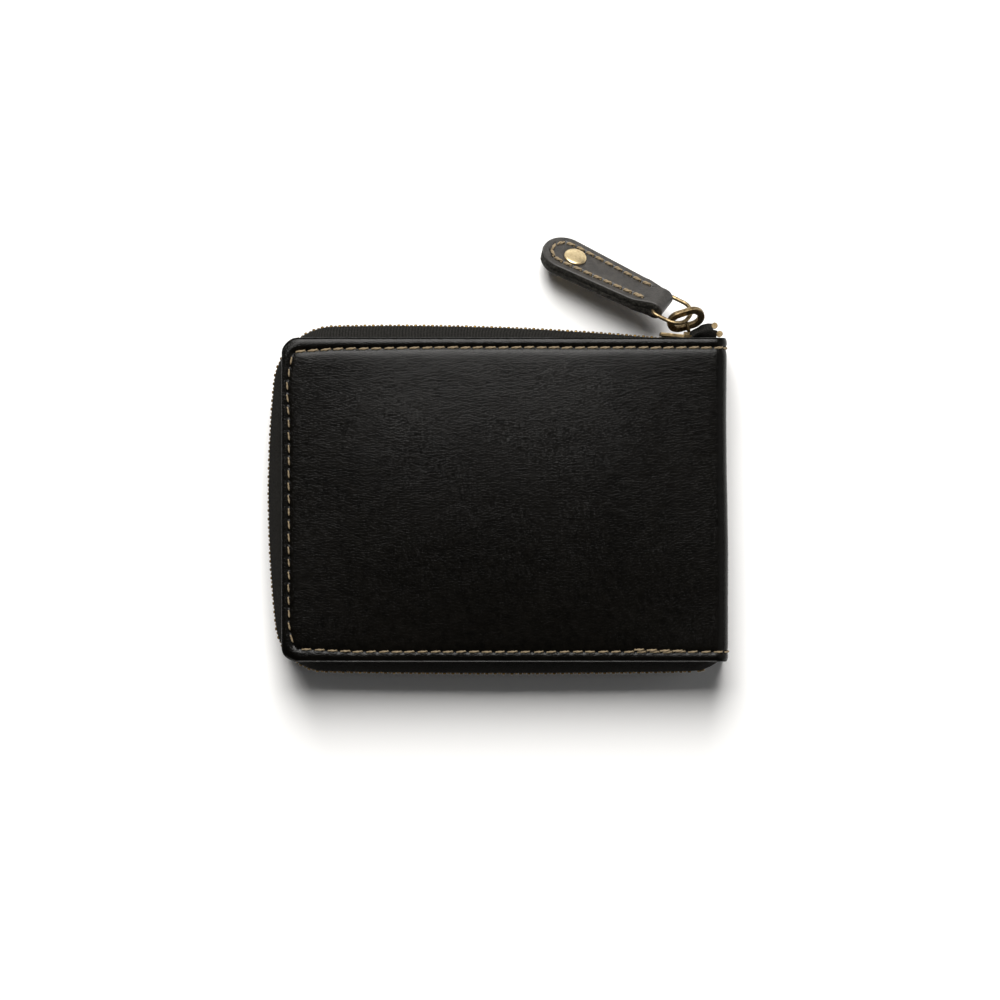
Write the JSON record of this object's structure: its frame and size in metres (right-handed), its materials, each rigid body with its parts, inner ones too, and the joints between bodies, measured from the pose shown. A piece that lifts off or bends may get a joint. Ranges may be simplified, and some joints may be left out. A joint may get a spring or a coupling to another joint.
{
  "type": "zip around wallet",
  "caption": "Flat leather wallet with a metal zip round three sides, spine fold, card and note pockets, and a riveted leather zip pull.",
  "frame": {"origin": "centre of the back cover's outer face, which the wallet rests on", "axes": "+X towards the spine, +Y towards the side where the zip closes, +Z out of the front cover"},
  "size_m": [0.1253, 0.1201, 0.022],
  "materials": {
    "cover_leather": "smooth, slightly waxed",
    "tab_leather": "smooth face with raw cut edges",
    "pocket_leather": "smooth",
    "lining_fabric": "fine twill",
    "board": "plain board",
    "zip_tape": "woven herringbone tape",
    "thread": "waxed thread",
    "antique_brass": "antique",
    "polished_brass": "satin"
  },
  "bodies": {
    "back_half": {"back_cover": "cover_leather", "back_stitching": "thread", "back_stiffener": "board", "back_lining": "lining_fabric", "back_bill_wall": "pocket_leather", "back_card_pocket_1": "pocket_leather", "back_card_pocket_2": "pocket_leather", "back_card_pocket_3": "pocket_leather", "back_zip_tape": "zip_tape", "back_zip_teeth": "antique_brass", "back_top_stop": "antique_brass", "bottom_stop": "antique_brass"},
    "spine": {"spine_cover": "cover_leather", "spine_stiffener": "board", "spine_lining": "lining_fabric"},
    "front_half": {"front_cover": "cover_leather", "front_stitching": "thread", "front_stiffener": "board", "front_lining": "lining_fabric", "front_bill_wall": "pocket_leather", "front_card_pocket_1": "pocket_leather", "front_card_pocket_2": "pocket_leather", "front_card_pocket_3": "pocket_leather", "front_zip_tape": "zip_tape", "front_zip_teeth": "antique_brass", "front_top_stop": "antique_brass"},
    "slider": {"slider_body": "antique_brass", "slider_bail": "antique_brass"},
    "loop": {"pull_loop": "antique_brass"},
    "ring": {"pull_ring": "antique_brass"},
    "tab": {"pull_leather": "tab_leather", "pull_stitching": "thread", "rivet_cap": "polished_brass", "rivet_back": "polished_brass"}
  },
  "joints": [
    {"name": "spine_fold", "type": "hinge", "parent": "back_half", "child": "spine", "pos_m": [0.0587, 0, 0.0015], "axis": [0, 1, 0], "range_deg": [0, 90]},
    {"name": "cover_fold", "type": "hinge", "parent": "spine", "child": "front_half", "pos_m": [0.0587, 0, 0.0205], "axis": [0, 1, 0], "range_deg": [0, 90]},
    {"name": "slider_run", "type": "hinge", "parent": "back_half", "child": "slider", "pos_m": [-0.03, -0.7131, 0.011], "axis": [0, 0, 1], "range_deg": [0, 6.8], "deforming": ["back_zip_teeth", "front_zip_teeth"]},
    {"name": "loop_swing", "type": "hinge", "parent": "slider", "child": "loop", "pos_m": [0.0495, 0.0476, 0.011], "axis": [0.9563, 0.2924, 0], "range_deg": [-30, 20]},
    {"name": "ring_swing", "type": "hinge", "parent": "loop", "child": "ring", "pos_m": [0.04965, 0.04978, 0.01395], "axis": [-0.4547, -0.5765, 0.6789], "range_deg": [-35, 5]},
    {"name": "tab_swing", "type": "hinge", "parent": "ring", "child": "tab", "pos_m": [0.04162, 0.05384, 0.01202], "axis": [-0.4547, -0.5765, 0.6789], "range_deg": [-70, 20]}
  ],
  "couplings": [
    {"joint": "cover_fold", "follows": "spine_fold", "ratio": 1}
  ]
}
